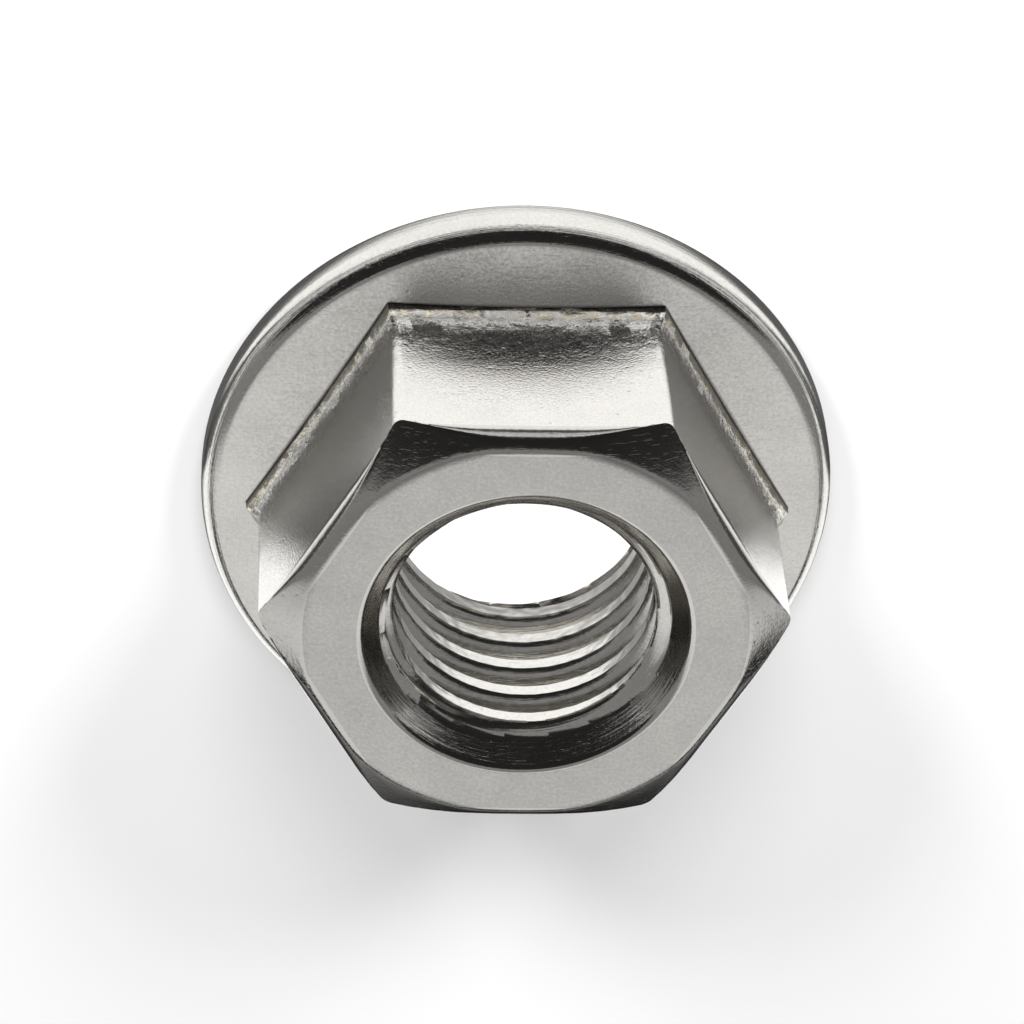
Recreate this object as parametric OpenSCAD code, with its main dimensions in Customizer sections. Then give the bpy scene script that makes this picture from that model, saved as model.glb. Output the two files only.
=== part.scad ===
// Serrated flange nut: one cold-formed piece, modelled standing on the serrated face of its flange.
// Millimetres. The bore's axis is Z, the bearing face lies at z = 0, and the hexagon is on top.

/* [Bore] */
// Diameter of the bore, which is the minor diameter of its fine thread
bore_d = 8.5; // [8.3:0.05:8.7]
// Diameter of the countersinks where they open at the two ends
sink_d = 10.7; // [10:0.1:11.4]
// Angle between a countersink's wall and the axis
sink_angle = 35; // [25:1:45]
// Depth of that wall
sink_depth = 0.9; // [0.7:0.05:1]
// Angle between the axis and the lead-in chamfer, which runs from that wall to the thread
lead_angle = 60; // [45:1:65]

/* [Hexagon] */
// Width across the flats
across_flats = 15; // [14.6:0.05:15.2]
// Height from the bearing face to the top face
nut_h = 9.8; // [9.4:0.1:11]
// Diameter at which the corner chamfer leaves the top face
chamfer_d = 14.1; // [13.6:0.1:15]
// Angle of the corner chamfer below the top face
chamfer_angle = 36; // [30:1:45]
// Radius of the rounded edge between the top face and each flat
top_edge_r = 0.7; // [0.5:0.05:0.9]
// Radius of the upright corners
corner_r = 0.45; // [0.3:0.05:0.8]

/* [Step under the hexagon] */
// Width across the flats of the trimmed step that the hexagon stands on
step_across = 15.55; // [15.5:0.05:16]
// Height at which the step's upright wall ends and its sloped shoulder begins
step_wall_top = 2.55; // [2.5:0.05:2.8]
// Slope of the shoulder
shoulder_angle = 60; // [45:1:70]

/* [Flange] */
// Outer diameter of the flange
flange_d = 21; // [20.6:0.1:22]
// Height at which the flange's top cone meets the rim
rim_h = 1.9; // [1.7:0.05:2]
// Slope of the flange's top cone
flange_slope = 10; // [6:1:14]
// Radius of the rim's upper edge
rim_r = 0.95; // [0.5:0.05:1]
// Size of the bevel around the rim's lower edge
rim_bevel = 0.42; // [0.4:0.02:0.6]

/* [Serrations] */
// Number of serrations around the bearing face
tooth_n = 28; // [20:1:30]
// Depth of a serration at the flange's outer diameter
tooth_depth = 0.38; // [0.2:0.02:0.38]
// Angle of the long ramp, which slides while the nut is tightened
ramp_angle = 13; // [12:1:20]
// Angle of the steep side, which bites when the nut is loosened
bite_angle = 70; // [60:1:80]
// Inner diameter of the serrated ring
ring_d = 12.6; // [12:0.1:14]
// Depth of the relief inside the serrated ring
relief_h = 0.4; // [0.3:0.05:0.6]

/* [Hidden] */
$fn = 144;
// How far a cutter reaches past the surface that it cuts
over = 1;
// Height at which the hexagon's solids begin, inside the flange
root_z = 1;
// A rounding arc is this much larger than a tangent one, so that it meets both faces at a slight angle
arc_ease = 1.12;
// How far the waste of a rounded corner reaches inside its arc, as a share of the radius
arc_overlap = 0.03;
flange_r = flange_d / 2;
apothem = across_flats / 2;
step_apothem = step_across / 2;
sides = 6;

// Distance from a corner, along its bisector, to the chord of its rounding arc
function chord_depth(r, corner) = r * pow(cos(corner / 2), 2) / sin(corner / 2);
// Distance from that chord to the centre of the eased arc
function centre_depth(r, corner) = sqrt(pow(r * arc_ease, 2) - pow(r * cos(corner / 2), 2));

// What rounding takes off a corner whose tip is at the origin and points along +X.
module corner_waste(r, corner) {
    chord = chord_depth(r, corner);
    difference() {
        translate([-chord - r * arc_overlap, -over])
            square([chord + over, 2 * over]);
        translate([-chord - centre_depth(r, corner), 0])
            circle(r * arc_ease);
    }
}

// Hexagonal prism with rounded upright corners, and its flats facing Y.
module rounded_hexagon(across, top) {
    corner_reach = across / 2 / cos(180 / sides);
    difference() {
        translate([0, 0, root_z])
            cylinder(r = corner_reach, h = top - root_z, $fn = sides);
        for (i = [0 : sides - 1])
            rotate(i * 360 / sides)
                translate([corner_reach, 0, 0])
                    linear_extrude(top + over)
                        corner_waste(corner_r, 120);
    }
}

// Places a section, drawn with X outwards and Y upwards, as a cutter along every flat.
module along_flats() {
    for (i = [0 : sides - 1])
        rotate((i + 0.5) * 360 / sides)
            rotate([90, 0, 0])
                linear_extrude(2 * flange_r, center = true)
                    children();
}

// The hexagon that a spanner turns: conical corner chamfer, then a rounded edge over each flat.
module spanner_hexagon() {
    chamfer_r = chamfer_d / 2;
    difference() {
        intersection() {
            rounded_hexagon(across_flats, nut_h + over);
            cylinder(r1 = chamfer_r + nut_h / tan(chamfer_angle), r2 = chamfer_r, h = nut_h);
        }
        along_flats()
            translate([apothem, nut_h])
                rotate(45)
                    corner_waste(top_edge_r, 90);
    }
}

// Step left by the trimming tool: an upright wall and a sloped shoulder that runs into the flats.
module trimmed_step() {
    depth = step_apothem - apothem;
    reach = step_wall_top + 2 * depth * tan(shoulder_angle);
    difference() {
        translate([0, 0, root_z])
            cylinder(r = step_apothem / cos(180 / sides), h = reach - root_z, $fn = sides);
        along_flats()
            translate([step_apothem, step_wall_top])
                rotate(90 - shoulder_angle)
                    square(2 * over);
    }
}

// Round flange with a conical top, a rounded upper edge and a bevelled lower edge.
module flange() {
    rotate_extrude()
        difference() {
            polygon([
                [0, 0],
                [flange_r - rim_bevel, 0],
                [flange_r, rim_bevel],
                [flange_r, rim_h],
                [0, rim_h + flange_r * tan(flange_slope)]
            ]);
            translate([flange_r, rim_h])
                rotate((90 - flange_slope) / 2)
                    corner_waste(rim_r, 90 + flange_slope);
        }
}

// One groove between two serrations. Its deepest line runs through the origin, so it widens and
// deepens outwards in proportion to the radius.
module groove() {
    drop = 3 * tooth_depth;
    rotate([0, -atan(tooth_depth / flange_r), 0])
        rotate([90, 0, 90])
            linear_extrude(flange_r + over)
                polygon([[0, 0], [drop / tan(ramp_angle), -drop], [-drop / tan(bite_angle), -drop]]);
}

// Grooves of the serrated ring, kept outside the relief.
module serration_cutters() {
    difference() {
        for (i = [0 : tooth_n - 1])
            rotate(i * 360 / tooth_n)
                groove();
        translate([0, 0, -2 * over])
            cylinder(d = ring_d - over, h = 4 * over);
    }
}

// Cutter for the countersink and the lead-in of an end face at z = 0, with the nut below it.
module countersink() {
    sink_r = sink_d / 2;
    lead_r = sink_r - sink_depth * tan(sink_angle);
    rotate_extrude()
        polygon([
            [0, over],
            [sink_r + over * tan(sink_angle), over],
            [lead_r, -sink_depth],
            [0, -sink_depth - lead_r / tan(lead_angle)]
        ]);
}

module flange_nut() {
    color([0.78, 0.77, 0.75])
        difference() {
            union() {
                flange();
                trimmed_step();
                spanner_hexagon();
            }
            translate([0, 0, -over])
                cylinder(d = bore_d, h = nut_h + 2 * over);
            translate([0, 0, nut_h])
                countersink();
            translate([0, 0, relief_h])
                mirror([0, 0, 1])
                    countersink();
            translate([0, 0, -over])
                cylinder(d = ring_d, h = relief_h + over);
            serration_cutters();
        }
}

flange_nut();
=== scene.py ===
import math

import bmesh
import bpy
from mathutils import Matrix, Vector, noise


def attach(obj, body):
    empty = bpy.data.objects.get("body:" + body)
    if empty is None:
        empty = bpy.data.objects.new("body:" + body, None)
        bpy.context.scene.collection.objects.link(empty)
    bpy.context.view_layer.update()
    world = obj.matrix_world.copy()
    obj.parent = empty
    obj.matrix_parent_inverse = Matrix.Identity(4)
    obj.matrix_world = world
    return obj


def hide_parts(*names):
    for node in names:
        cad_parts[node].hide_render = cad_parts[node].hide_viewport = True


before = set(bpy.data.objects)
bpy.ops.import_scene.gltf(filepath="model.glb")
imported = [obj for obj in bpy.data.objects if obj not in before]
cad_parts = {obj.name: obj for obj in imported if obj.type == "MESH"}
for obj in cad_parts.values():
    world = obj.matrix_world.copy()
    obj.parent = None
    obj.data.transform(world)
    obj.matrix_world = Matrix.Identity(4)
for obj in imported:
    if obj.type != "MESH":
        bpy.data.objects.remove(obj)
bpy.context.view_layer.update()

mm = 0.001
print("frame loaded")

# sizes in millimetres: the solid's, but for a slightly softer brow and rim
nut = {
    "acrossFlats": 15.0,
    "height": 9.8,
    "chamferRadius": 7.05,
    "chamferSlope": 36,
    "faceSag": 0.06,          # fall of the worn face by sagOver past the radius sagFrom
    "sagFrom": 5.8,
    "sagOver": 1.6,
    "browRadius": 0.8,        # rounded edge between the top face and a flat
    "browTurn": 18,           # degrees at which its rounding leaves the face
    "cornerRadius": 0.45,
    "sharpCorner": 0.1,       # least radius of the hexagon's corners
    "stepAcross": 15.55,
    "stepWallTop": 2.55,
    "shoulderSlope": 60,
    "tornStep": [(0.8, 0.03, 2), (0.33, 0.025, 3)],   # size, height and squash of the torn marks
    "flangeRadius": 10.5,
    "rimHeight": 1.9,
    "flangeSlope": 10,
    "deckWave": (2.5, 0.012),         # size and height of the waves in the flange's top
    "rimRadius": 1.05,
    "ridgeTurn": 28,          # degrees by which the rim's rounding starts past the flange's top
    "rimBevel": 0.42,
    "sinkRadius": 5.35,
    "sinkAngle": 35,          # between the countersink's wall and the axis
    "sinkDepth": 0.9,
    "sinkRound": 0.3,         # rounded edge between the top face and the countersink
    "leadAngle": 60,
    "reliefHeight": 0.4,
    "ringRadius": 6.3,
}
teeth = {
    "count": 28,
    "depth": 0.38,            # at the flange's radius
    "ramp": 13,
    "bite": 70,
    "rampColumns": 11,        # these three share out the columns of one serration
    "landColumns": 4,
    "biteColumns": 3,
}
mesh = {
    "columns": 504,           # around the axis, a multiple of six and of the serrations
    "crowding": 0.125,        # radians by which columns are drawn towards the corners
    "mergeGap": 0.0001,
    "rowGap": 0.2,            # between the rows of a profile before they are drawn to shape
    "softEdge": 0.12,         # width over which face and corner chamfer run into each other
    "creaseAngle": 32,
}
# rows of the skin: radii in millimetres, turns in degrees, shares of the way from one edge to the next
layout = {
    "sinkShares": (1, 0.8, 0.6, 0.4, 0.2, 0),
    "faceFrom": 12,           # turn below which the countersink's rounded edge counts as face
    "faceCircles": [(5.85, 0), (6.2, 0.3)],           # radius, share of the crowding
    "faceEdges": [(6.75, 0.28, 0.6), (6.92, 0.21, 0.7), (7.05, 0.14, 0.85)],  # and inset from the brow
    "chamferEdges": [(7.18, 0.08, 1), (7.32, 0.03, 1)],
    "browTurns": (26, 34, 43, 52, 62, 72, 82),
    "flatShares": (0, 0.02, 0.2, 0.45, 0.7, 0.9, 1),
    "stepFoot": (0.01, 0.08),  # how far the step's wall leans out, and how far it reaches down
    "deckInner": 0.03,        # gap between the step's wall and the deck
    "deckOuter": 0.15,        # gap between the deck and the rim's rounding
    "deckShares": (0, 0.06, 0.25, 0.5, 0.75, 1),
    "rimLead": 0.03,          # gap from the last row of the deck to the rim's ridge
    "rimTurns": (36, 44, 53, 62, 71, 80, 88),
    "bevelShares": (0, 0.12, 0.4, 0.7, 0.93),
    "bevelGap": 0.04,         # from the rim's wall to the bevel below it
    "bearingEdge": 0.06,      # from the bevel to the first row of the bearing face
    "bearingRadii": (9.4, 8.8, 8.2, 7.6, 7.0, 6.5),
    "reliefEdge": [(0.02, 0.05), (0.1, 0)],           # inset from the serrated ring, drop from the relief
    "reliefInner": 5.8,
    "sinkEdge": 0.02,         # from the relief to the lower countersink
}
apothem = nut["acrossFlats"] / 2
stepApothem = nut["stepAcross"] / 2
columnAngle = 2 * math.pi / mesh["columns"]
toothSpan = 2 * math.pi / teeth["count"]
slopeRise = math.tan(math.radians(nut["flangeSlope"]))
shoulderTop = nut["stepWallTop"] + (stepApothem - apothem) * math.tan(math.radians(nut["shoulderSlope"]))


def softMin(a, b, width):
    # the lower of two heights, with a rounded crossing
    blend = max(width - abs(a - b), 0) / width
    return min(a, b) - blend * blend * width / 4


def flatAngle(angle):
    # angle from the middle of the nearest flat, at most 30 degrees
    sixth = math.pi / 3
    return abs((angle % sixth) - sixth / 2)


def hexRadius(distance, angle, corner):
    # distance from the axis to a hexagon with rounded corners
    fromFlat = flatAngle(angle)
    fromCorner = math.pi / 6 - fromFlat
    if corner > 0:
        centre = (distance - corner) / math.cos(math.pi / 6)
        edge = math.atan2(corner / 2, centre + corner * math.cos(math.pi / 6))
        if fromCorner < edge:
            across = centre * math.sin(fromCorner)
            return centre * math.cos(fromCorner) + math.sqrt(corner * corner - across * across)
    return distance / math.cos(fromFlat)


def chamferHeight(radius):
    return nut["height"] - (radius - nut["chamferRadius"]) * math.tan(math.radians(nut["chamferSlope"]))


def deckHeight(radius):
    return nut["rimHeight"] + (nut["flangeRadius"] - radius) * slopeRise


def grooveDepth(angle, radius):
    # ratchet groove: a long ramp, a flat land, then a steep side
    share = teeth["depth"] / nut["flangeRadius"]
    along = angle % toothSpan
    ramp = radius * (share - along * math.tan(math.radians(teeth["ramp"])))
    bite = radius * (share - (toothSpan - along) * math.tan(math.radians(teeth["bite"])))
    return max(0, ramp, bite)


def toothAngle(angle):
    # moves columns onto the edges of each groove
    share = teeth["depth"] / nut["flangeRadius"]
    rampEnd = share / math.tan(math.radians(teeth["ramp"]))
    landEnd = toothSpan - share / math.tan(math.radians(teeth["bite"]))
    columns = teeth["rampColumns"] + teeth["landColumns"] + teeth["biteColumns"]
    tooth = math.floor(angle / toothSpan + 1e-6)
    column = (angle / toothSpan - tooth) * columns
    past = column - teeth["rampColumns"]
    if past < 0:
        along = column / teeth["rampColumns"] * rampEnd
    elif past < teeth["landColumns"]:
        along = rampEnd + past / teeth["landColumns"] * (landEnd - rampEnd)
    else:
        along = landEnd + (past - teeth["landColumns"]) / teeth["biteColumns"] * (toothSpan - landEnd)
    return tooth * toothSpan + along


def cornerAngle(angle, share):
    # draws columns towards the hexagon's corners
    return angle - share * mesh["crowding"] * math.sin(6 * angle)


def roughness(point, size, height):
    return height * noise.noise(Vector(point) / size)


def sinkMouth():
    # radius where the thread's mesh takes over from the skin, and its depth below the face
    angle = math.radians(90 - nut["sinkAngle"])
    reach = nut["sinkRadius"] + nut["sinkRound"] * math.tan(angle / 2)
    return reach - nut["sinkRound"] * math.sin(angle), nut["sinkRound"] * (1 - math.cos(angle))


def leadRadius(depth):
    # radius of the countersink's wall, then of the lead-in chamfer, at a depth below an end face
    wall = nut["sinkRadius"] - min(depth, nut["sinkDepth"]) * math.tan(math.radians(nut["sinkAngle"]))
    return wall - max(depth - nut["sinkDepth"], 0) * math.tan(math.radians(nut["leadAngle"]))


def circleRow(radius, height, share, skin):
    # round row, its columns crowded by a share
    return {"skin": skin, "place": lambda a: (cornerAngle(a, share), radius, height)}


def sag(radius):
    # the face is worn slightly domed
    share = max(radius - nut["sagFrom"], 0) / nut["sagOver"]
    return nut["faceSag"] * share * share


def browDistance(turn):
    return apothem - nut["browRadius"] * (1 - math.sin(math.radians(turn)))


def facePlace(reach, inset, share):
    # top face out to the rounded edge, and down the corner chamfer
    def place(angle):
        turned = cornerAngle(angle, share)
        edge = hexRadius(browDistance(nut["browTurn"]), turned, nut["sharpCorner"]) - inset
        radius = min(reach, edge)
        return turned, radius, softMin(nut["height"] - sag(radius), chamferHeight(radius), mesh["softEdge"])
    return place


def browPlace(turn):
    # rounded edge over each flat, up to 90 degrees on the flat
    drop = nut["browRadius"] * (math.cos(math.radians(nut["browTurn"])) - math.cos(math.radians(turn)))
    distance = browDistance(turn)
    corner = max(nut["cornerRadius"] - (apothem - distance), nut["sharpCorner"])

    def place(angle):
        turned = cornerAngle(angle, 1)
        radius = hexRadius(distance, turned, corner)
        height = softMin(nut["height"] - sag(radius) - drop, chamferHeight(radius), mesh["softEdge"])
        return turned, radius, height
    return place


def flatPlace(share):
    # down a flat, from the edge of the chamfer to the shoulder
    top = browPlace(90)

    def place(angle):
        turned, radius, height = top(angle)
        return turned, radius, height + (shoulderTop - height) * share
    return place


def stepPlace(distance, height):
    # the step's shoulder and wall, torn by the trimming tool
    def place(angle):
        turned = cornerAngle(angle, 1)
        radius = hexRadius(distance, turned, 0)
        x, y = radius * math.cos(turned), radius * math.sin(turned)
        torn = sum(roughness((x, y, height * squash), size, deep) for size, deep, squash in nut["tornStep"])
        return turned, radius + torn, height + torn
    return place


def ridgeRadius():
    # radius at which the rim's rounding leaves the flange's top
    return nut["flangeRadius"] - nut["rimRadius"] * (1 - math.sin(math.radians(nut["ridgeTurn"])))


def deckPlace(share):
    # conical top of the flange, from the step's wall out to the rim
    rimInner = ridgeRadius() - layout["deckOuter"]

    def place(angle):
        turned = cornerAngle(angle, 1 - share)
        inner = hexRadius(stepApothem + layout["deckInner"], turned, 0)
        radius = inner + (rimInner - inner) * share
        x, y = radius * math.cos(turned), radius * math.sin(turned)
        return turned, radius, deckHeight(radius) + roughness((x, y, 0), *nut["deckWave"])
    return place


def toothPlace(radius, floor):
    # bearing face and bevel, cut by the grooves
    def place(angle):
        turned = toothAngle(angle)
        return turned, radius, max(floor, grooveDepth(turned, radius))
    return place


def row(place, skin):
    return {"place": place, "skin": skin}


def rimRows():
    # rounded upper edge of the rim, then its upright wall
    outer = nut["flangeRadius"]
    radius = nut["rimRadius"]
    wallTop = deckHeight(ridgeRadius()) - radius * math.cos(math.radians(nut["ridgeTurn"]))
    deckEnd = ridgeRadius() - layout["rimLead"]
    rows = [circleRow(deckEnd, deckHeight(deckEnd), 0, "deck")]
    for turn in (nut["ridgeTurn"] + 2,) + layout["rimTurns"]:
        angle = math.radians(turn)
        height = wallTop + radius * math.cos(angle)
        rows.append(circleRow(outer - radius + radius * math.sin(angle), height, 0, "rim"))
    rows.append(circleRow(outer, (wallTop + nut["rimBevel"]) / 2, 0, "rim"))
    rows.append(circleRow(outer, nut["rimBevel"] + layout["bevelGap"], 0, "rim"))
    return rows


def skinRows():
    # outside of the nut, from the upper countersink out and down to the lower one
    top = nut["height"]
    edge = nut["sinkRound"]
    steepest = 90 - nut["sinkAngle"]
    reach = nut["sinkRadius"] + edge * math.tan(math.radians(steepest / 2))
    rows = []
    for share in layout["sinkShares"]:
        turn = steepest * share
        angle = math.radians(turn)
        skin = "sink" if turn > layout["faceFrom"] else "face"
        rows.append(circleRow(reach - edge * math.sin(angle), top - edge * (1 - math.cos(angle)), 0, skin))
    rows += [circleRow(radius, top, share, "face") for radius, share in layout["faceCircles"]]
    rows += [row(facePlace(*place), "face") for place in layout["faceEdges"]]
    rows += [row(facePlace(*place), "chamfer") for place in layout["chamferEdges"]]
    rows += [row(browPlace(turn), "chamfer") for turn in (nut["browTurn"],) + layout["browTurns"]]
    rows += [row(flatPlace(share), "flat") for share in layout["flatShares"]]
    middle = (apothem + stepApothem) / 2
    out, down = layout["stepFoot"]
    rows += [row(stepPlace(middle, (shoulderTop + nut["stepWallTop"]) / 2), "step")]
    rows += [row(stepPlace(stepApothem, nut["stepWallTop"]), "step")]
    rows += [row(stepPlace(stepApothem + out, nut["stepWallTop"] - down), "step")]
    deck = [row(deckPlace(share), "deck") for share in layout["deckShares"]]
    # painted shade: the deck's first row, at the foot of the step's wall, is marked so that its tone is
    # darkened like a shadowed crevice
    deck[0]["creviceShade"] = 1
    rows += deck + rimRows()
    outer = nut["flangeRadius"]
    bevel = nut["rimBevel"]
    for share in layout["bevelShares"]:
        rows += [row(toothPlace(outer - bevel * share, bevel * (1 - share)), "bearing")]
    first = outer - bevel - layout["bearingEdge"]
    for radius in (first,) + layout["bearingRadii"] + (nut["ringRadius"],):
        rows += [row(toothPlace(radius, 0), "bearing")]
    relief = nut["reliefHeight"]
    for inset, drop in layout["reliefEdge"]:
        rows += [circleRow(nut["ringRadius"] - inset, relief - drop, 0, "bearing")]
    rows += [circleRow(layout["reliefInner"], relief, 0, "bearing")]
    rows += [circleRow(nut["sinkRadius"] + layout["sinkEdge"], relief, 0, "sink")]
    rows += [circleRow(sinkMouth()[0], relief + sinkMouth()[1], 0, "sink")]
    return rows


def spinAround(bm, profile, lead):
    # one tooth's width is spun, then repeated round the axis; the lead makes a screw of it
    steps = mesh["columns"] // teeth["count"]
    edges = [bm.edges.new(pair) for pair in zip(profile, profile[1:])]
    bmesh.ops.spin(bm, geom=profile + edges, axis=(0, 0, 1), cent=(0, 0, 0), angle=toothSpan, steps=steps,
                   dvec=(0, 0, lead / mesh["columns"]), use_merge=False)
    whole = bm.verts[:] + bm.edges[:] + bm.faces[:]
    bmesh.ops.spin(bm, geom=whole, axis=(0, 0, 1), cent=(0, 0, 0), angle=2 * math.pi - toothSpan,
                   steps=teeth["count"] - 1, dvec=(0, 0, lead / teeth["count"]), use_duplicate=True)
    bmesh.ops.remove_doubles(bm, verts=bm.verts, dist=mesh["mergeGap"])


def buildSkin(bm, skins):
    # a profile spun round the axis, each of its rows then drawn to its own outline
    rows = skinRows()
    rowLayer = bm.verts.layers.int.new("row")
    creviceShadeLayer = bm.verts.layers.float.new("creviceShade")
    profile = []
    for index, item in enumerate(rows):
        point = bm.verts.new((item["place"](math.pi / 2)[1], 0, -mesh["rowGap"] * index))
        point[rowLayer] = index
        profile.append(point)
    spinAround(bm, profile, 0)
    for face in bm.faces:
        face.material_index = skins.index(rows[min(v[rowLayer] for v in face.verts)]["skin"])
    for vert in bm.verts:
        angle = math.atan2(vert.co.y, vert.co.x) % (2 * math.pi)
        angle = round(angle / columnAngle) % mesh["columns"] * columnAngle
        turned, radius, height = rows[vert[rowLayer]]["place"](angle)
        vert.co = (radius * math.cos(turned), radius * math.sin(turned), height)
        vert[creviceShadeLayer] = rows[vert[rowLayer]].get("creviceShade", 0)


thread = {
    "pitch": 1.5,
    "minor": 4.25,
    "major": 5.04,
    "crest": 0.58,            # widths of the flat crest and root
    "root": 0.19,
    "crestShares": (0, 0.3, 0.58, 0.8),
    "crestEdge": 0.05,        # height of the bevel along the crest
    "rootEdge": 0.03,         # and of the one along the root
    "flankShares": (0.2, 0.4, 0.6, 0.8, 1),
    "turnsBelow": 2,          # turns of the screw that start below the nut
    "start": 0.43,            # shift along the axis, which turns the thread's run-out
    "torn": 0.013,            # how rough the crests are
    "wavy": 0.006,            # and the flanks
    "tear": 0.3,              # size of the marks
    "tearSquash": 1.6,        # and how much shorter they are along the axis
    "fadeDepth": 0.6,         # length over which the thread grows out of the lead-in
    "leadRound": 0.15,        # width over which the lead-in and the thread run into each other
    "sinkReach": 0.03,        # faces this near to the countersink's wall have its finish
}


def threadPoints():
    # one pitch of the thread's section, as height and radius
    minor, major = thread["minor"], thread["major"]
    crest, root = thread["crest"] / 2, thread["root"] / 2
    pitch = thread["pitch"]
    run, rise = pitch / 2 - root - crest, major - thread["rootEdge"] - minor
    top = [(crest * share, minor) for share in thread["crestShares"]] + [(crest, minor + thread["crestEdge"])]
    rising = top + [(crest + run * share, minor + rise * share) for share in thread["flankShares"]]
    falling = [(pitch - z, r) for z, r in reversed(rising[1:])]
    return rising + [(pitch / 2, major)] + falling


def buildThread(bm, skins):
    # the section repeated along the axis and spun as a screw, then trimmed to the countersinks
    depth = sinkMouth()[1]
    low = nut["reliefHeight"] + depth
    high = nut["height"] - depth
    middle = (low + high) / 2
    pitch = thread["pitch"]
    snap = pitch / len(threadPoints()) / 2
    threadBm = bmesh.new()
    points = []
    turn = -thread["turnsBelow"]
    while thread["start"] + turn * pitch < high:
        points += [(radius, 0, thread["start"] + turn * pitch + height) for height, radius in threadPoints()]
        turn += 1
    spinAround(threadBm, [threadBm.verts.new(point) for point in points], pitch)
    for vert in threadBm.verts:
        height = min(max(vert.co.z, low), high)
        radius = math.hypot(vert.co.x, vert.co.y)
        column = round(math.atan2(vert.co.y, vert.co.x) / columnAngle)
        below = min(height - low, high - height) + depth
        if abs(below - nut["sinkDepth"]) < snap:
            height += (below - nut["sinkDepth"]) * (1 if height > middle else -1)
            below = nut["sinkDepth"]
        cone = leadRadius(below)
        grown = min(max((below - nut["sinkDepth"]) / thread["fadeDepth"], 0), 1)
        torn = thread["torn"] if radius < thread["minor"] + thread["crestEdge"] / 2 else thread["wavy"]
        torn = roughness((vert.co.x, vert.co.y, vert.co.z * thread["tearSquash"]), thread["tear"], torn)
        radius = thread["minor"] + (radius - thread["minor"]) * grown + torn * grown
        radius = -softMin(-radius, -cone, thread["leadRound"])
        vert.co = (radius * math.cos(column * columnAngle), radius * math.sin(column * columnAngle), height)
    bmesh.ops.remove_doubles(threadBm, verts=threadBm.verts, dist=mesh["mergeGap"])
    for face in threadBm.faces:
        centre = face.calc_center_median()
        cone = leadRadius(min(centre.z - low, high - centre.z) + depth)
        onCone = abs(math.hypot(centre.x, centre.y) - cone) < thread["sinkReach"]
        face.material_index = skins.index("sink" if onCone else "thread")
    holder = bpy.data.meshes.new("threadHolder")
    threadBm.to_mesh(holder)
    threadBm.free()
    bm.from_mesh(holder)
    bpy.data.meshes.remove(holder)


def buildNut(materials):
    skins = list(materials)
    bm = bmesh.new()
    buildSkin(bm, skins)
    buildThread(bm, skins)
    bmesh.ops.remove_doubles(bm, verts=bm.verts, dist=mesh["mergeGap"])
    bmesh.ops.recalc_face_normals(bm, faces=bm.faces)
    bmesh.ops.scale(bm, vec=(mm, mm, mm), verts=bm.verts)
    openEdges = sum(1 for edge in bm.edges if len(edge.link_faces) != 2)
    triangles = sum(len(face.verts) - 2 for face in bm.faces)
    print("nut built:", triangles, "triangles,", openEdges, "open edges")
    data = bpy.data.meshes.new("flangeNutBody")
    bm.to_mesh(data)
    bm.free()
    for material in materials.values():
        data.materials.append(material)
    data.shade_smooth()
    data.set_sharp_from_angle(angle=math.radians(mesh["creaseAngle"]))
    body = bpy.data.objects.new("flangeNutBody", data)
    bpy.context.collection.objects.link(body)
    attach(body, "root")
    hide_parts("flange_nut")


def newMaterial(name):
    material = bpy.data.materials.new(name)
    material.use_nodes = True
    return material, material.node_tree.nodes, material.node_tree.links


def mapRange(tree, value, low, high, outLow, outHigh):
    node = tree.nodes.new("ShaderNodeMapRange")
    node.interpolation_type = "SMOOTHSTEP"
    for name, number in zip(("From Min", "From Max", "To Min", "To Max"), (low, high, outLow, outHigh)):
        node.inputs[name].default_value = number
    tree.links.new(value, node.inputs["Value"])
    return node.outputs["Result"]


def mathNode(tree, operation, *values):
    node = tree.nodes.new("ShaderNodeMath")
    node.operation = operation
    for socket, value in zip(node.inputs, values):
        if isinstance(value, (int, float)):
            socket.default_value = value
        else:
            tree.links.new(value, socket)
    return node.outputs[0]


def noiseNode(tree, vector, scale, detail):
    node = tree.nodes.new("ShaderNodeTexNoise")
    node.inputs["Detail"].default_value = detail
    tree.links.new(vector, node.inputs["Vector"])
    if isinstance(scale, (int, float)):
        node.inputs["Scale"].default_value = scale
    else:
        tree.links.new(scale, node.inputs["Scale"])
    return node.outputs["Fac"]


def stretched(tree, vector, scale, turn=(0, 0, 0)):
    node = tree.nodes.new("ShaderNodeMapping")
    node.inputs["Scale"].default_value = scale
    node.inputs["Rotation"].default_value = turn
    tree.links.new(vector, node.inputs["Vector"])
    return node.outputs[0]


# default values of the steel group's inputs; Grain counts per millimetre
steelSockets = {
    "Tone": 0.62,
    "Roughness": 0.3,
    "Spread": 0.2,
    "Blotch": 0.1,
    "Grain": 9.0,
    "Frost": 0.3,
    "Pits": 0.4,
    "Scratches": 0.3,
    "Turned": 0.0,
    "Drawn": 0.0,
    "Stain": 0.0,
}
# scales and stretches count per millimetre; edges are the values between which a mark fades in or out
steelMarks = {
    "aroundScale": 5,
    "blotchScale": 0.55,
    "pitScale": 2.3,
    "pitEdge": (0.05, 0.22),
    "pitChance": (0.62, 0.9),      # which of the cells have a pit
    "scratchScale": 0.9,
    "scratchStretch": (1, 15, 6),
    "scratchTurns": (0.5, 1.4, 2.6),
    "scratchEdge": (0.66, 0.74),
    "turnedStretch": (0.35, 14, 14),
    "dentStretch": (3.2, 3.2, 2.2),
    "streakStretch": (10, 10, 1.3),
    "streakShare": 0.5,
    "drawnEnd": (3.3, 5.0),        # heights between which the marks on the flats end
    "wornEnd": (3.2, 4.9),         # and the dull zone beside the step
    "stainScale": 4.0,
    "stainEdge": (0.42, 0.62),
    # share of the tone that the painted shade in the crevice at the step's foot takes away
    "creviceShadeDepth": 0.85,
    "bumpDepth": 0.01,
    "leastRoughness": 0.06,
}
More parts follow.
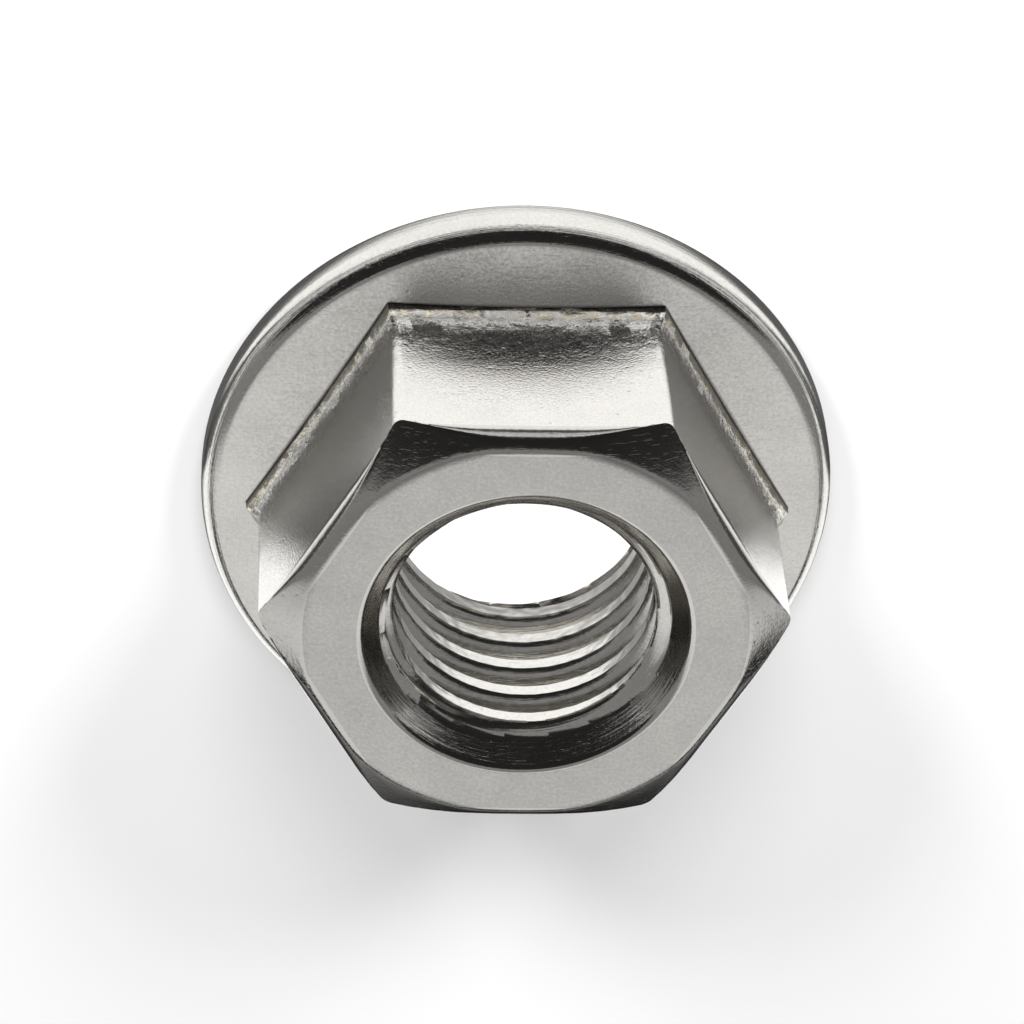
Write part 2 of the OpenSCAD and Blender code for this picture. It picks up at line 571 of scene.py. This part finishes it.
# how strongly the marks act on the bump, on roughness and on tone
bumpWeight = {"Frost": 1.0, "Turned": 1.0, "Drawn": 6.0, "Pits": 0.8, "Scratches": 0.35}
roughWeight = {"Scratches": 0.1, "Drawn": 0.2}
toneWeight = {"broad": 1.2, "fine": 1.0, "Pits": 0.1}
# for red, green and blue: share of the tone, and what the stain takes of it
tint = [(1.0, 0.05), (0.975, 0.15), (0.925, 0.36)]


def steelGroup():
    # cold-formed stainless steel: grain, blotches, pits, scratches, marks of the tools, and painted shade in
    # the crevice at the step's foot
    tree = bpy.data.node_groups.new("tumbledSteel", "ShaderNodeTree")
    for name, value in steelSockets.items():
        socket = tree.interface.new_socket(name=name, in_out="INPUT", socket_type="NodeSocketFloat")
        socket.default_value = value
    outputs = {"Color": "NodeSocketColor", "Roughness": "NodeSocketFloat", "Normal": "NodeSocketVector"}
    for name, kind in outputs.items():
        tree.interface.new_socket(name=name, in_out="OUTPUT", socket_type=kind)
    given = tree.nodes.new("NodeGroupInput").outputs
    result = tree.nodes.new("NodeGroupOutput").inputs
    place = tree.nodes.new("ShaderNodeTexCoord")
    metric = tree.nodes.new("ShaderNodeVectorMath")
    metric.operation = "SCALE"
    metric.inputs["Scale"].default_value = 1 / mm
    tree.links.new(place.outputs["Object"], metric.inputs[0])
    point = metric.outputs[0]
    axes = tree.nodes.new("ShaderNodeSeparateXYZ")
    tree.links.new(point, axes.inputs[0])
    x, y, z = axes.outputs
    around = mathNode(tree, "ARCTAN2", y, x)
    squares = mathNode(tree, "ADD", mathNode(tree, "MULTIPLY", x, x), mathNode(tree, "MULTIPLY", y, y))
    polar = tree.nodes.new("ShaderNodeCombineXYZ")
    tree.links.new(mathNode(tree, "MULTIPLY", around, steelMarks["aroundScale"]), polar.inputs[0])
    tree.links.new(mathNode(tree, "SQRT", squares), polar.inputs[1])
    tree.links.new(z, polar.inputs[2])

    grain = noiseNode(tree, point, given["Grain"], detail=3)
    blotch = noiseNode(tree, point, steelMarks["blotchScale"], detail=4)
    cells = tree.nodes.new("ShaderNodeTexVoronoi")
    cells.inputs["Scale"].default_value = steelMarks["pitScale"]
    tree.links.new(point, cells.inputs["Vector"])
    chosen = tree.nodes.new("ShaderNodeSeparateColor")
    tree.links.new(cells.outputs["Color"], chosen.inputs[0])
    pitted = mapRange(tree, cells.outputs["Distance"], *steelMarks["pitEdge"], 1, 0)
    pitted = mathNode(tree, "MULTIPLY", pitted,
                      mapRange(tree, chosen.outputs[0], *steelMarks["pitChance"], 0, 1))
    lines = []
    for turn in steelMarks["scratchTurns"]:
        line = stretched(tree, point, steelMarks["scratchStretch"], (0, 0, turn))
        line = noiseNode(tree, line, steelMarks["scratchScale"], detail=1)
        lines.append(mapRange(tree, line, *steelMarks["scratchEdge"], 0, 1))
    scratched = mathNode(tree, "MAXIMUM", mathNode(tree, "MAXIMUM", lines[0], lines[1]), lines[2])
    turned = noiseNode(tree, stretched(tree, polar.outputs[0], steelMarks["turnedStretch"]), 1.0, detail=3)
    dents = noiseNode(tree, stretched(tree, point, steelMarks["dentStretch"]), 1.0, detail=3)
    streaks = noiseNode(tree, stretched(tree, point, steelMarks["streakStretch"]), 1.0, detail=2)
    marks = mathNode(tree, "ADD", dents, mathNode(tree, "MULTIPLY", streaks, steelMarks["streakShare"]))
    drawn = mathNode(tree, "MULTIPLY", marks, mapRange(tree, z, *steelMarks["drawnEnd"], 1, 0))

    def weighted(value, name, weights):
        return mathNode(tree, "MULTIPLY", mathNode(tree, "MULTIPLY", value, given[name]), weights[name])

    height = weighted(grain, "Frost", bumpWeight)
    height = mathNode(tree, "ADD", height, weighted(turned, "Turned", bumpWeight))
    height = mathNode(tree, "ADD", height, weighted(drawn, "Drawn", bumpWeight))
    height = mathNode(tree, "SUBTRACT", height, weighted(pitted, "Pits", bumpWeight))
    height = mathNode(tree, "SUBTRACT", height, weighted(scratched, "Scratches", bumpWeight))
    bump = tree.nodes.new("ShaderNodeBump")
    bump.inputs["Strength"].default_value = 1.0
    bump.inputs["Distance"].default_value = steelMarks["bumpDepth"] * mm
    tree.links.new(height, bump.inputs["Height"])
    tree.links.new(bump.outputs["Normal"], result["Normal"])

    fine = mathNode(tree, "MULTIPLY", mathNode(tree, "SUBTRACT", grain, 0.5), given["Spread"])
    broad = mathNode(tree, "MULTIPLY", mathNode(tree, "SUBTRACT", blotch, 0.5), given["Blotch"])
    rough = mathNode(tree, "ADD", mathNode(tree, "ADD", given["Roughness"], fine), broad)
    rough = mathNode(tree, "ADD", rough, weighted(scratched, "Scratches", roughWeight))
    worn = mapRange(tree, z, *steelMarks["wornEnd"], 1, 0)
    rough = mathNode(tree, "ADD", rough, weighted(worn, "Drawn", roughWeight))
    tree.links.new(mathNode(tree, "MAXIMUM", rough, steelMarks["leastRoughness"]), result["Roughness"])
    cloudy = mathNode(tree, "SUBTRACT", 1, mathNode(tree, "MULTIPLY", broad, toneWeight["broad"]))
    cloudy = mathNode(tree, "SUBTRACT", cloudy, mathNode(tree, "MULTIPLY", fine, toneWeight["fine"]))
    tone = mathNode(tree, "MULTIPLY", given["Tone"], cloudy)
    tone = mathNode(tree, "SUBTRACT", tone, weighted(pitted, "Pits", toneWeight))
    # painted shade: the tone is darkened where the deck meets the step's wall, standing in for the shadow in
    # that crevice
    creviceShade = tree.nodes.new("ShaderNodeAttribute")
    creviceShade.attribute_name = "creviceShade"
    paintedShade = mathNode(tree, "MULTIPLY", creviceShade.outputs["Fac"], steelMarks["creviceShadeDepth"])
    unshaded = mathNode(tree, "SUBTRACT", 1, paintedShade)
    tone = mathNode(tree, "MULTIPLY", tone, unshaded)
    stained = noiseNode(tree, point, steelMarks["stainScale"], detail=2)
    stained = mapRange(tree, stained, *steelMarks["stainEdge"], 0, 1)
    stained = mathNode(tree, "MULTIPLY", stained, given["Stain"])
    colour = tree.nodes.new("ShaderNodeCombineColor")
    for channel, (share, stain) in zip(colour.inputs, tint):
        kept = mathNode(tree, "SUBTRACT", share, mathNode(tree, "MULTIPLY", stained, stain))
        tree.links.new(mathNode(tree, "MULTIPLY", tone, kept), channel)
    tree.links.new(colour.outputs[0], result["Color"])
    return tree


finishes = {
    "face": {"Tone": 0.475, "Roughness": 0.3, "Spread": 0.3, "Blotch": 0.16, "Frost": 0.6, "Turned": 0.2},
    "chamfer": {"Tone": 0.56, "Roughness": 0.13, "Spread": 0.12, "Frost": 0.3, "Turned": 0.1},
    "flat": {"Tone": 0.65, "Roughness": 0.12, "Spread": 0.24, "Frost": 0.95, "Pits": 0.6, "Drawn": 0.8,
             "Grain": 12.5},
    "step": {"Tone": 0.7, "Roughness": 0.22, "Spread": 0.3, "Frost": 2.2, "Grain": 6.0, "Stain": 0.6},
    "deck": {"Roughness": 0.26, "Spread": 0.26, "Blotch": 0.14, "Frost": 0.5, "Turned": 0.1},
    "rim": {"Tone": 0.62, "Roughness": 0.14, "Spread": 0.2, "Frost": 0.5, "Turned": 0.9},
    "bearing": {"Tone": 0.6, "Roughness": 0.3, "Spread": 0.2, "Frost": 0.4, "Pits": 0.5},
    "sink": {"Roughness": 0.12, "Spread": 0.15, "Frost": 0.25, "Turned": 0.5, "Scratches": 0.2},
    "thread": {"Roughness": 0.16, "Spread": 0.2, "Frost": 0.4, "Turned": 0.5, "Grain": 7.0},
}


def steelMaterial(name, group):
    material, nodes, links = newMaterial(name + "Steel")
    shader = nodes["Principled BSDF"]
    shader.inputs["Metallic"].default_value = 1.0
    steel = nodes.new("ShaderNodeGroup")
    steel.node_tree = group
    for socket, value in finishes[name].items():
        steel.inputs[socket].default_value = value
    links.new(steel.outputs["Color"], shader.inputs["Base Color"])
    links.new(steel.outputs["Roughness"], shader.inputs["Roughness"])
    links.new(steel.outputs["Normal"], shader.inputs["Normal"])
    return material


steel = steelGroup()
print("steel mixed")
buildNut({name: steelMaterial(name, steel) for name in finishes})


# metres and watts
studio = {
    "floorSize": 4.0,
    "floorTone": 0.8,
    "floorLift": 0.16,        # white that the floor adds for the camera
    "liftFull": (0.03, 0.3),  # distances from the axis between which that rises to full white
    "boreLightRadius": 0.006,     # inside it the floor glows plain white for the camera: painted light that covers the nut's shadow seen through the bore
    "softRim": 1.05,          # how far, in radii, the edges of that painted white disc and of the painted dark ring below the flange reach
    "skyStrength": 0.35,
    "cameraWhite": 1.25,      # makes white of the background's own grey
    "keys": [((-0.1, -0.155, 0.105), 0.34), ((0.1, -0.155, 0.105), 0.34), ((0, -0.15, 0.13), 0.17)],
    "keySize": 0.07,
}
# what the metal mirrors: tones of the sky from -Y to +Y, as y, less sideShare of x, and tone
skyTones = [(-1.4, 0.02), (-0.6, 0.03), (-0.5, 0.4), (-0.3, 0.36), (-0.1, 0.34), (0.1, 0.9), (0.25, 1.15),
            (0.45, 1.2), (0.84, 1.25), (0.95, 0.25), (1.0, 0.1)]
# directions between which parts of that sky end: a bright strip low at -Y and a dark line low at +Y
skyParts = {
    "sideShare": 0.4,
    "stripZ": (0.05, 0.15),
    "stripY": (-0.3, -0.08),
    "stripTone": 1.25,
    "lineZ": (0.1, 0.2),
    "lineY": (0.3, 0.45),
}
# tones of the painted reflection that the metal sees in the floor, as distance from the axis in millimetres
# and tone
floorReflectionTones = [(0, 1.4), (20, 1.4), (25, 0.1), (36, 0.1), (50, 0.8), (100, 0.8)]
# and millimetres between which parts of it begin or end
floorReflectionParts = {
    "sides": (15, 18),        # bright on both sides, along X
    "sideTone": 0.9,
    "outerX": (26, 30),       # dark further out
    "outerY": (10, 18),
    "outerDepth": 0.9,
    "ringSquash": 0.92,       # painted shade in that reflection: a dark ring below the flange, wider along X
    "ringTone": 0.1,
    "behind": (12.5, 15),     # painted shadow in that reflection, dark on the +Y side
    "behindTone": 0.1,
    "beyond": (32, 90),       # and a little brighter further out
    "beyondRise": 0.25,
    "asideX": (11.1, 11.4),   # painted dark reflection beside the flange on the -Y side
    "asideEnd": (15, 17),
    "asideY": (0, 1),
    "asideDepth": 0.9,
    "bore": (1.0, 3.4),       # below the bore, a painted reflection, bright on the -Y side and dim on the +Y side
    "boreTones": (1.05, 0.3),
}


def toneRamp(tree, value, tones):
    # grey tones at chosen places along a value's range
    low, high = tones[0][0], tones[-1][0]
    node = tree.nodes.new("ShaderNodeValToRGB")
    node.color_ramp.interpolation = "EASE"
    stops = node.color_ramp.elements
    while len(stops) < len(tones):
        stops.new(0.5)
    for stop, (place, tone) in zip(stops, tones):
        stop.position = (place - low) / (high - low)
        stop.color = (tone, tone, tone, 1)
    along = mathNode(tree, "DIVIDE", mathNode(tree, "SUBTRACT", value, low), high - low)
    tree.links.new(along, node.inputs["Fac"])
    return node.outputs["Color"]


def zone(tree, value, name, outLow, outHigh):
    # soft edge of one part of the painted floor reflection
    low, high = floorReflectionParts[name]
    return mapRange(tree, value, low * mm, high * mm, outLow, outHigh)


def paintedFloorReflection(tree, place, distance):
    # the floor as the metal mirrors it: a painted reflection, with painted shade around and behind the
    # flange, shown to glossy rays only
    nodes, links = tree.nodes, tree.links
    axes = nodes.new("ShaderNodeSeparateXYZ")
    links.new(place, axes.inputs[0])
    x, y = axes.outputs[:2]
    sideways = mathNode(tree, "ABSOLUTE", x)
    tones = toneRamp(tree, mathNode(tree, "MULTIPLY", distance, 1 / mm), floorReflectionTones)
    outer = mathNode(tree, "MULTIPLY", zone(tree, sideways, "outerX", 0, floorReflectionParts["outerDepth"]),
                     zone(tree, mathNode(tree, "ABSOLUTE", y), "outerY", 1, 0))
    tones = mathNode(tree, "MAXIMUM", tones, zone(tree, sideways, "sides", 0, floorReflectionParts["sideTone"]))
    tones = mathNode(tree, "MULTIPLY", tones, mathNode(tree, "SUBTRACT", 1, outer))
    rim = nut["flangeRadius"] * mm
    oval = nodes.new("ShaderNodeVectorMath")
    oval.operation = "LENGTH"
    links.new(stretched(tree, place, (floorReflectionParts["ringSquash"], 1, 1)), oval.inputs[0])
    around = mapRange(tree, oval.outputs["Value"], rim, rim * studio["softRim"], floorReflectionParts["ringTone"], 1)
    aside = zone(tree, sideways, "asideX", 0, floorReflectionParts["asideDepth"])
    aside = mathNode(tree, "MULTIPLY", aside, zone(tree, sideways, "asideEnd", 1, 0))
    aside = mathNode(tree, "MULTIPLY", aside, zone(tree, y, "asideY", 1, 0))
    behind = mathNode(tree, "ADD", zone(tree, y, "behind", 1, floorReflectionParts["behindTone"]),
                      zone(tree, y, "beyond", 0, floorReflectionParts["beyondRise"]))
    around = mathNode(tree, "MULTIPLY", around, mathNode(tree, "SUBTRACT", 1, aside))
    around = mathNode(tree, "MULTIPLY", around, behind)
    clear = studio["boreLightRadius"]
    under = mathNode(tree, "MULTIPLY", mapRange(tree, distance, clear, clear * studio["softRim"], 1, 0),
                     zone(tree, y, "bore", *floorReflectionParts["boreTones"]))
    mirrored = nodes.new("ShaderNodeEmission")
    links.new(tones, mirrored.inputs["Color"])
    links.new(mathNode(tree, "MAXIMUM", around, under), mirrored.inputs["Strength"])
    return mirrored.outputs[0]


def buildFloor():
    bm = bmesh.new()
    bmesh.ops.create_grid(bm, x_segments=1, y_segments=1, size=studio["floorSize"] / 2)
    data = bpy.data.meshes.new("floor")
    bm.to_mesh(data)
    bm.free()
    floor = bpy.data.objects.new("floor", data)
    bpy.context.collection.objects.link(floor)
    material, nodes, links = newMaterial("floorWhite")
    tree = material.node_tree
    nodes.clear()
    output = nodes.new("ShaderNodeOutputMaterial")
    paper = nodes.new("ShaderNodeBsdfDiffuse")
    paper.inputs["Color"].default_value = (studio["floorTone"],) * 3 + (1,)
    path = nodes.new("ShaderNodeLightPath")
    place = nodes.new("ShaderNodeTexCoord")
    distance = nodes.new("ShaderNodeVectorMath")
    distance.operation = "LENGTH"
    links.new(place.outputs["Object"], distance.inputs[0])
    far = distance.outputs["Value"]
    clear = studio["boreLightRadius"]
    # painted light: the floor is full white for the camera inside the disc below the bore, over the nut's
    # shadow there
    lift = mapRange(tree, far, clear, clear * studio["softRim"], 1, studio["floorLift"])
    lift = mathNode(tree, "MAXIMUM", lift, mapRange(tree, far, *studio["liftFull"], 0, 1))
    lifted = nodes.new("ShaderNodeEmission")
    links.new(mathNode(tree, "MULTIPLY", lift, path.outputs["Is Camera Ray"]), lifted.inputs["Strength"])
    direct = nodes.new("ShaderNodeAddShader")
    links.new(paper.outputs[0], direct.inputs[0])
    links.new(lifted.outputs[0], direct.inputs[1])
    # glossy and transmission rays see the painted floor reflection instead of the lit floor
    reflected = mathNode(tree, "MAXIMUM", path.outputs["Is Glossy Ray"], path.outputs["Is Transmission Ray"])
    both = nodes.new("ShaderNodeMixShader")
    links.new(reflected, both.inputs[0])
    links.new(direct.outputs[0], both.inputs[1])
    links.new(paintedFloorReflection(tree, place.outputs["Object"], far), both.inputs[2])
    links.new(both.outputs[0], output.inputs["Surface"])
    data.materials.append(material)


def buildSky():
    world = bpy.data.worlds.new("studio")
    bpy.context.scene.world = world
    world.use_nodes = True
    tree = world.node_tree
    nodes, links = tree.nodes, tree.links
    nodes.clear()
    output = nodes.new("ShaderNodeOutputWorld")
    background = nodes.new("ShaderNodeBackground")
    place = nodes.new("ShaderNodeTexCoord")
    axes = nodes.new("ShaderNodeSeparateXYZ")
    links.new(place.outputs["Generated"], axes.inputs[0])
    x, y, z = axes.outputs
    aside = mathNode(tree, "MULTIPLY", mathNode(tree, "ABSOLUTE", x), skyParts["sideShare"])
    tones = toneRamp(tree, mathNode(tree, "SUBTRACT", y, aside), skyTones)
    strip = mathNode(tree, "MULTIPLY", mapRange(tree, z, *skyParts["stripZ"], 1, 0),
                     mapRange(tree, y, *skyParts["stripY"], 1, 0))
    line = mathNode(tree, "MULTIPLY", mapRange(tree, z, *skyParts["lineZ"], 1, 0),
                    mapRange(tree, y, *skyParts["lineY"], 0, 1))
    tones = mathNode(tree, "MULTIPLY", tones, mathNode(tree, "SUBTRACT", 1, line))
    tones = mathNode(tree, "MULTIPLY", tones, mathNode(tree, "SUBTRACT", 1, strip))
    mirrored = mathNode(tree, "ADD", tones, mathNode(tree, "MULTIPLY", strip, skyParts["stripTone"]))
    path = nodes.new("ShaderNodeLightPath")
    spread = mapRange(tree, path.outputs["Is Camera Ray"], 0, 1, studio["skyStrength"], studio["cameraWhite"])
    glossy = mathNode(tree, "MAXIMUM", path.outputs["Is Glossy Ray"], path.outputs["Is Transmission Ray"])
    shown = mathNode(tree, "ADD", mathNode(tree, "MULTIPLY", mirrored, glossy),
                     mathNode(tree, "MULTIPLY", spread, mathNode(tree, "SUBTRACT", 1, glossy)))
    links.new(shown, background.inputs["Strength"])
    links.new(background.outputs[0], output.inputs["Surface"])


camera = {
    "target": (0.3, -1.1, 4.25),
    "azimuth": 5.27,          # from -Y towards +X
    "elevation": 56.25,
    "distance": 180.0,
    "roll": -176.25,
    "pixelsPerMillimetre": 30.5,
    "imageWidth": 1024,
    "sensor": 36,
    "clip": (0.01, 20),
}


def buildCamera():
    data = bpy.data.cameras.new("camera")
    data.sensor_width = camera["sensor"]
    data.lens = camera["pixelsPerMillimetre"] * camera["distance"] * camera["sensor"] / camera["imageWidth"]
    data.clip_start, data.clip_end = camera["clip"]
    view = bpy.data.objects.new("camera", data)
    bpy.context.collection.objects.link(view)
    azimuth, elevation = math.radians(camera["azimuth"]), math.radians(camera["elevation"])
    back = Vector((math.sin(azimuth) * math.cos(elevation), -math.cos(azimuth) * math.cos(elevation),
                   math.sin(elevation)))
    view.location = (Vector(camera["target"]) + back * camera["distance"]) * mm
    roll = Matrix.Rotation(-math.radians(camera["roll"]), 3, back)
    view.rotation_euler = (roll @ back.to_track_quat("Z", "Y").to_matrix()).to_euler()
    bpy.context.scene.camera = view


def buildLights():
    for place, power in studio["keys"]:
        data = bpy.data.lights.new("key", "AREA")
        data.shape = "DISK"
        data.size = studio["keySize"]
        data.energy = power
        key = bpy.data.objects.new("key", data)
        key.location = place
        key.rotation_euler = Vector(place).to_track_quat("Z", "Y").to_euler()
        bpy.context.collection.objects.link(key)
        key.visible_glossy = False


buildFloor()
buildSky()
buildCamera()
buildLights()
bpy.context.scene.view_settings.view_transform = "Standard"
print("studio built")
